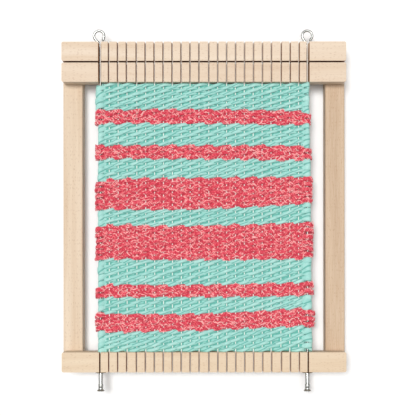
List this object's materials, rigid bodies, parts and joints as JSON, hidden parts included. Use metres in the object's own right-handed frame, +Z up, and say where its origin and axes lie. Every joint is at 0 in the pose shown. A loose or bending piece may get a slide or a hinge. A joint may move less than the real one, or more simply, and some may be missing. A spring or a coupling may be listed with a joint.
{
  "type": "frame loom",
  "caption": "Beech hand-weaving frame loom with slotted bars, pull-out steel edge rods and a striped weaving of teal and coral yarn on its cotton warp.",
  "frame": {"origin": "on the table under the middle of the whole loom's box, with the loom lying on its back", "axes": "+Z up out of the loom's front, +Y along the uprights towards the rod eyes, +X along the bars to the right seen from the front"},
  "size_m": [0.2528, 0.3224, 0.036],
  "materials": {
    "wood": "fine-sanded unvarnished beech",
    "steel": "polished",
    "dark_steel": "dark oxide",
    "screw_steel": "zinc plated",
    "cotton": "twisted cotton thread",
    "teal": "soft spun yarn",
    "coral": "boucle yarn"
  },
  "bodies": {
    "loom": {"left_upright": "wood", "right_upright": "wood", "upper_top_bar": "wood", "lower_top_bar": "wood", "bottom_bar": "wood", "upper_top_bar_left_screw": "screw_steel", "upper_top_bar_right_screw": "screw_steel", "lower_top_bar_left_screw": "screw_steel", "lower_top_bar_right_screw": "screw_steel", "bottom_bar_left_screw": "screw_steel", "bottom_bar_right_screw": "screw_steel", "left_sleeve_insert": "dark_steel", "right_sleeve_insert": "dark_steel", "warp_thread": "cotton", "weft_01_teal": "teal", "weft_02_coral": "coral", "weft_03_teal": "teal", "weft_04_coral": "coral", "weft_05_teal": "teal", "weft_06_coral": "coral", "weft_07_teal": "teal", "weft_08_coral": "coral", "weft_09_teal": "teal", "weft_10_coral": "coral", "weft_11_teal": "teal", "weft_12_coral": "coral", "weft_13_teal": "teal"},
    "left_rod": {"left_edge_rod": "steel"},
    "right_rod": {"right_edge_rod": "steel"},
    "left_sleeve": {"left_rod_sleeve": "steel"},
    "right_sleeve": {"right_rod_sleeve": "steel"}
  },
  "joints": [
    {"name": "left_rod_pull", "type": "slide", "parent": "loom", "child": "left_rod", "axis": [0, 1, 0], "range_m": [0, 0.295]},
    {"name": "right_rod_pull", "type": "slide", "parent": "loom", "child": "right_rod", "axis": [0, 1, 0], "range_m": [0, 0.295]},
    {"name": "left_sleeve_turn", "type": "hinge", "parent": "loom", "child": "left_sleeve", "pos_m": [-0.092, -0.15215, 0.0269], "axis": [0, 1, 0], "continuous": true},
    {"name": "right_sleeve_turn", "type": "hinge", "parent": "loom", "child": "right_sleeve", "pos_m": [0.092, -0.15215, 0.0269], "axis": [0, 1, 0], "continuous": true}
  ]
}
